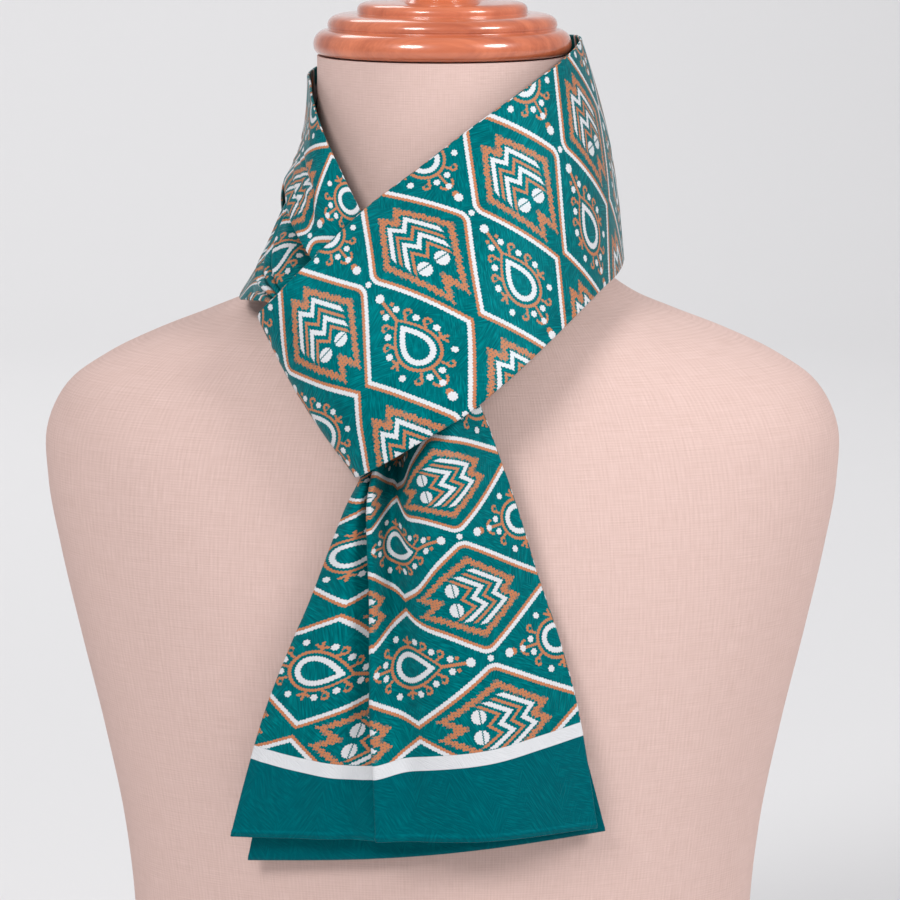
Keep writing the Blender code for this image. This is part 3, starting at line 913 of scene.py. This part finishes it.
def weft_sag(v):
    """How far the weft has risen at each point of the tail, as a share of its sag."""
    places = np.clip(v, WEFT_RISES[0].place, WEFT_RISES[-1].place).ravel()
    rises, = read_off(WEFT_RISES, "share", column(WEFT_RISES, "place"), places)
    return rises.reshape(v.shape)


def pleated_section(right, crest, valley, fold, left, lap):
    """One section of the front tail, as points from its right end to its left one."""
    steps = TAIL_STEPS
    radius = PLEAT_TURN * min(1.0, TIGHT_TURN + TURN_EASE * lap)
    shoulder = np.add(valley, np.subtract(crest, valley) * RIDGE_SHOULDER)
    knots = np.array((fold, valley, shoulder, crest, right[:2]))

    def layer(start, end, count, depth):
        """Points of one layer of the lap or of the part over it, from side to side."""
        across = np.linspace(start, end, count + 1)
        showing = smooth_through(knots[:, 0], knots[:, 1], np.maximum(across, fold[0]))
        return list(np.stack((across, showing + depth * radius), axis=1))

    def turn(centre, side):
        angles = math.pi * np.arange(1, steps["turn"] + 1) / steps["turn"]
        sweep = np.stack((side * np.sin(angles), -np.cos(angles)), axis=1)
        return list(np.add(centre, radius * sweep))

    outline = layer(right[0], fold[0], steps["right"], 0)
    outline += turn((fold[0], fold[1] + radius), -1)
    outline += layer(fold[0], fold[0] + lap, steps["lap"], 2)[1:]
    outline += turn((outline[-1][0], outline[-1][1] + radius), 1)
    under = np.array(layer(fold[0] + lap, left[0], steps["left"], 4)[1:])
    showing = np.clip((fold[0] - under[:, 0]) / (fold[0] - left[0]), 0.0, 1.0)
    under[:, 1] += (left[1] - under[-1, 1]) * showing
    close = np.exp(-(((under[:, 0] - fold[0]) / SHADE_BREADTH) ** 2))
    under[:, 1] += PLEAT_SHADE * min(1.0, lap / SHADE_LAP) * close
    under[:, 1] -= LEFT_BULGE * min(1.0, lap / BULGE_LAP) * np.sin(math.pi * showing)
    outline += list(under)
    level = np.interp([x for x, _ in outline], (left[0], right[0]), (left[2], right[2]))
    return np.column_stack((outline, level))


# ======== operators
class CRAVAT_OT_wound_layers(bpy.types.Operator):
    """Wind the scarf's outer and inner layers round the neck"""

    bl_idname = "cravat.wound_layers"
    bl_label = "Wound layers"

    def execute(self, context):
        scarf = context.scene.scarf
        outer = place_layer("silk_outer_layer", OUTER_LAYER, OUTER_LIE, OUTER_FOLDS, scarf)
        dress(outer, "printed_silk", "front_band", "nape_outer", "left_outer")
        inner = place_layer("silk_inner_layer", INNER_LAYER, INNER_LIE, INNER_FOLDS, scarf)
        dress(inner, "printed_silk", "inner_band", "nape_inner", "left_inner")
        return {"FINISHED"}


class CRAVAT_OT_tails(bpy.types.Operator):
    """Hang the scarf's two tails below the knot"""

    bl_idname = "cravat.tails"
    bl_label = "Tails"

    def execute(self, context):
        scarf = context.scene.scarf
        front = self.front_tail(scarf)
        dress(front, "printed_silk", "tail_front")
        rear = self.rear_tail(scarf)
        dress(rear, "printed_silk", "tail_back")
        return {"FINISHED"}

    def front_tail(self, scarf):
        """The front tail, with its rounded ridge and its knife pleat."""
        rows = FRONT_TAIL_SECTIONS
        knots = chord_lengths((column(rows, "right") + column(rows, "left")) / 2)
        places = towards_hem(knots[-1], TAIL_ROWS)
        shape = read_off(rows, "right crest valley fold left lap", knots, places)
        grid = np.array([pleated_section(*section) for section in zip(*shape)])
        v = self.tail_across(grid, *read_off(rows, "lap print_fold print_left", knots, places))
        along, sag, dip = (values[:, None] for values in
                           read_off(rows, "print_along sag dip", knots, places))
        u = along + sag * weft_sag(v) - dip * np.exp(-((v - VALLEY_DIP) / DIP_BREADTH) ** 2)
        hem = FRONT_STRIPE + END_BAND - u
        grid = pressed(grid, FRONT_TAIL_FOLDS, knots[-1] - places)
        return add_silk("silk_front_tail", grid, u, v, hem, scarf)

    @staticmethod
    def tail_across(grid, lap, fold, left):
        """The print's place across the tail, read from its right end, folds and left end."""
        steps = TAIL_STEPS
        counts = np.cumsum([steps["right"], steps["turn"] + steps["lap"],
                            steps["turn"] + steps["left"]])
        arcs = across_lengths(grid)
        marks = np.concatenate((arcs[:, :1], arcs[:, counts]), axis=1)
        levels = np.stack((np.full(len(grid), TAIL_RIGHT), fold, fold + lap, left), axis=1)
        return np.array([np.interp(arc, mark, level)
                         for arc, mark, level in zip(arcs, marks, levels)])

    def rear_tail(self, scarf):
        """The rear tail, which lies on the form behind the front one."""
        name = "silk_rear_tail"
        grid, lengths, *_ = layer_grid(REAR_TAIL_SECTIONS, *LAYER_POINTS[name])
        v = across_lengths(grid) + REAR_TAIL_PRINT["across"]
        u = np.repeat(lengths[:, None], grid.shape[1], axis=1)
        hem = u[-1] - u
        grid = pressed(grid, REAR_TAIL_FOLDS, lengths[-1] - lengths)
        return add_silk(name, grid, u + REAR_TAIL_PRINT["along"], v, hem, scarf)


def linen_material(form):
    """Fine plain-woven linen, threads running round the form and up it."""
    shader = Shader("linen_weave")
    u, v = shader.on_cloth()
    weft = shader.noise(u * 0.09, v * 2.2)
    warp = shader.noise(u * 2.2, v * 0.09, 5.0)
    threads = (u * LINEN_THREAD).math("SINE") * 0.5 + (v * LINEN_THREAD).math("SINE") * 0.5
    weave = weft + warp + threads * 0.22 - 0.5
    shade = (weave * 0.7 + 0.1).clamped()
    pale = tuple(min(1.0, level * 1.12) for level in form.linen)
    deep = tuple(level * factor for level, factor in zip(form.linen, (0.86, 0.80, 0.76)))
    return shader.finish({
        "Base Color": shader.blended(shade, deep, pale),
        "Roughness": 0.86,
        "Specular IOR Level": 0.25,
        "Normal": shader.bump(weave, 0.3, 0.0003),
    })


def wood_material(form):
    """Varnished warm wood, its grain running from side to side."""
    shader = Shader("wood_grain")
    x, y, z = shader.split(shader.value("ShaderNodeTexCoord", output=3))
    rings = shader.noise(x * 6.0, y * 120.0, z * 45.0, detail=3.0, roughness=0.6)
    pores = shader.noise(x * 60.0, y * 1300.0, z * 500.0)
    grain = (rings * 2.1 + pores * 0.6 - 0.85).clamped()
    return shader.finish({
        "Base Color": shader.blended(grain, form.wood_dark, form.wood_light),
        "Roughness": 0.3,
        "Coat Weight": 0.9,
        "Coat Roughness": 0.07,
        "Normal": shader.bump(pores, 0.08, 0.0002),
    })


class CRAVAT_OT_dress_form(bpy.types.Operator):
    """Make the form's linen cover, its turned cap and its board"""

    bl_idname = "cravat.dress_form"
    bl_label = "Dress form"

    def execute(self, context):
        form = context.scene.dress_form
        linen = shared_material("linen_weave", linen_material, form)
        wood = shared_material("wood_grain", wood_material, form)
        dress(self.cover(linen), "form_linen", "form_torso")
        dress(self.cap(wood), "turned_wood", "form_neck_cap")
        dress(self.board(wood), "turned_wood", "form_base")
        return {"FINISHED"}

    def cover(self, material):
        """The torso and neck, drawn up ring by ring through the level slices."""
        slices = (column(FORM_SLICES, "height"), column(FORM_SLICES, "side"))
        rise = chord_lengths(np.stack(slices, axis=1))
        places = np.linspace(0.0, rise[-1], FORM_RINGS)
        levels, side, front, back = read_off(FORM_SLICES, SLICE, rise, places)
        shape = bmesh.new()
        bmesh.ops.create_circle(shape, cap_ends=True, segments=FORM_SIDES, radius=1.0)
        edges = list(shape.edges)
        for _ in places[1:]:
            made = bmesh.ops.extrude_edge_only(shape, edges=edges)["geom"]
            ring = [item for item in made if isinstance(item, bmesh.types.BMVert)]
            edges = [item for item in made if isinstance(item, bmesh.types.BMEdge)
                     and item.is_boundary]
            bmesh.ops.translate(shape, vec=(0.0, 0.0, 1.0), verts=ring)
        bmesh.ops.edgeloop_fill(shape, edges=edges)
        for vert in shape.verts:
            level = round(vert.co.z)
            reach = back[level] if vert.co.y > 0 else front[level]
            place = (side[level] * vert.co.x, reach * vert.co.y, levels[level])
            vert.co = Vector(place) * MM
        bmesh.ops.recalc_face_normals(shape, faces=shape.faces)
        flat = shape.loops.layers.uv.new("cloth")
        for face in shape.faces:
            around = [math.atan2(loop.vert.co.y, loop.vert.co.x) for loop in face.loops]
            seam = max(around) - min(around) > math.pi
            for loop, angle in zip(face.loops, around):
                turned = angle + math.tau if seam and angle < 0 else angle
                loop[flat].uv = (turned * LINEN_WRAP * MM, loop.vert.co.z)
        return add_shape("form_cover", shape, material)

    def cap(self, material):
        """The turned cap: its profile spun round the neck's axis."""
        shape = bmesh.new()
        foot = NECK_TOP + SEAM_GAP
        knots = np.arange(len(CAP_PROFILE))
        places = np.linspace(0, len(CAP_PROFILE) - 1, 3 * len(CAP_PROFILE))
        radii, rises = read_off(CAP_PROFILE, "radius rise", knots, places)
        points = [(0.0, 0.0), *zip(radii, rises), (0.0, CAP_PROFILE[-1].rise)]
        verts = [shape.verts.new((radius * MM, 0.0, (foot + rise) * MM))
                 for radius, rise in points]
        edges = [shape.edges.new(pair) for pair in zip(verts[:-1], verts[1:])]
        bmesh.ops.spin(shape, geom=verts + edges, axis=(0, 0, 1), cent=(0, 0, 0),
                       steps=TURNED_SIDES, angle=math.tau, use_merge=True,
                       use_duplicate=False)
        bmesh.ops.remove_doubles(shape, verts=shape.verts, dist=MERGE_WITHIN * MM)
        bmesh.ops.recalc_face_normals(shape, faces=shape.faces)
        return add_shape("form_cap", shape, material)

    def board(self, material):
        """The oval board that the form stands on."""
        foot = FORM_SLICES[0]
        side, reach = foot.side + BASE_MARGIN, (foot.front + foot.back) / 2 + BASE_MARGIN
        height = BASE_THICK - SEAM_GAP
        shape = bmesh.new()
        bmesh.ops.create_cone(shape, cap_ends=True, segments=TURNED_SIDES, radius1=1.0,
                              radius2=1.0, depth=1.0)
        bmesh.ops.scale(shape, vec=Vector((side, reach, height)) * MM, verts=shape.verts)
        middle = Vector((0.0, (foot.back - foot.front) / 2, height / 2)) * MM
        bmesh.ops.translate(shape, vec=middle, verts=shape.verts)
        rims = [edge for edge in shape.edges if edge.calc_face_angle() > CREASE]
        bmesh.ops.bevel(shape, geom=rims, offset=BASE_ROUNDING * MM, offset_type="OFFSET",
                        segments=4, profile=0.5, affect="EDGES", material=-1)
        return add_shape("form_board", shape, material)


class CRAVAT_OT_studio(bpy.types.Operator):
    """Set up the plain floor, the soft lights and the camera"""

    bl_idname = "cravat.studio"
    bl_label = "Studio"

    def execute(self, context):
        studio = context.scene.studio
        self.floor(studio)
        self.sky(studio)
        for lamp in LAMPS:
            self.light(lamp, getattr(studio, lamp.name))
        self.camera(studio)
        context.scene.view_settings.view_transform = "Standard"
        return {"FINISHED"}

    def floor(self, studio):
        shader = Shader("studio_floor")
        material = shader.finish({"Base Color": colour_of(studio.floor), "Roughness": 0.9,
                                  "Specular IOR Level": 0.2})
        shape = bmesh.new()
        bends = [(y, 0.0) for y in FLOOR_ROWS]
        for turn in np.linspace(0.0, math.pi / 2, SWEEP_STEPS):
            bends.append((SWEEP_START + SWEEP_RADIUS * math.sin(turn),
                          SWEEP_RADIUS * (1 - math.cos(turn))))
        bends.append((SWEEP_START + SWEEP_RADIUS, BACKDROP_TOP))
        edge = [shape.verts.new((-FLOOR_SIDE, y, z)) for y, z in bends]
        edges = [shape.edges.new(pair) for pair in zip(edge[:-1], edge[1:])]
        made = bmesh.ops.extrude_edge_only(shape, edges=edges)["geom"]
        far = [item for item in made if isinstance(item, bmesh.types.BMVert)]
        bmesh.ops.translate(shape, vec=Vector((2 * FLOOR_SIDE, 0.0, 0.0)), verts=far)
        bmesh.ops.recalc_face_normals(shape, faces=shape.faces)
        add_shape("studio_floor", shape, material)

    def sky(self, studio):
        world = bpy.data.worlds.new("studio_sky")
        world.use_nodes = True
        sky = world.node_tree.nodes["Background"]
        sky.inputs["Color"].default_value = SKY_COLOUR
        sky.inputs["Strength"].default_value = studio.sky
        bpy.context.scene.world = world

    def light(self, lamp, power):
        data = bpy.data.lights.new(f"{lamp.name}_light", "AREA")
        data.shape = "DISK"
        data.size = lamp.breadth
        data.energy = power
        light = add_object(data.name, data)
        light.location = lamp.place
        beam = Vector(lamp.aim) - Vector(lamp.place)
        light.rotation_euler = beam.to_track_quat("-Z", "Y").to_euler()

    def camera(self, studio):
        data = bpy.data.cameras.new("camera")
        data.sensor_width = SENSOR_WIDTH
        data.lens = LENS
        data.clip_start, data.clip_end = CLIP
        camera = add_object("camera", data)
        tilt = studio.elevation
        away = Vector((0.0, -math.cos(tilt), math.sin(tilt))) * studio.distance
        camera.location = Vector(VIEW_MIDDLE) + away
        camera.rotation_euler = (-away).to_track_quat("-Z", "Y").to_euler()
        bpy.context.scene.camera = camera


class CRAVAT_PT_panel(bpy.types.Panel):
    """The pieces, in the order in which they are made"""

    bl_idname = "CRAVAT_PT_panel"
    bl_label = "Cravat"
    bl_space_type = "VIEW_3D"
    bl_region_type = "UI"
    bl_category = "Cravat"

    def draw(self, context):
        groups = (
            (context.scene.dress_form, ("cravat.dress_form",)),
            (context.scene.scarf, ("cravat.wound_layers", "cravat.tails")),
            (context.scene.studio, ("cravat.studio",)),
        )
        for settings, operators in groups:
            box = self.layout.box()
            for name in settings.__annotations__:
                box.prop(settings, name)
            for operator in operators:
                box.operator(operator)


CLASSES = (
    ScarfSettings, FormSettings, StudioSettings,
    CRAVAT_OT_dress_form, CRAVAT_OT_wound_layers, CRAVAT_OT_tails, CRAVAT_OT_studio,
    CRAVAT_PT_panel,
)


def register():
    for item in CLASSES:
        bpy.utils.register_class(item)
    bpy.types.Scene.scarf = bpy.props.PointerProperty(type=ScarfSettings)
    bpy.types.Scene.dress_form = bpy.props.PointerProperty(type=FormSettings)
    bpy.types.Scene.studio = bpy.props.PointerProperty(type=StudioSettings)


def unregister():
    del bpy.types.Scene.studio
    del bpy.types.Scene.dress_form
    del bpy.types.Scene.scarf
    for item in reversed(CLASSES):
        bpy.utils.unregister_class(item)


def main():
    register()
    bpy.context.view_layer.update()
    bpy.ops.cravat.dress_form()
    bpy.ops.cravat.wound_layers()
    bpy.ops.cravat.tails()
    bpy.ops.cravat.studio()
    bpy.context.view_layer.update()


if __name__ == "__main__":
    main()
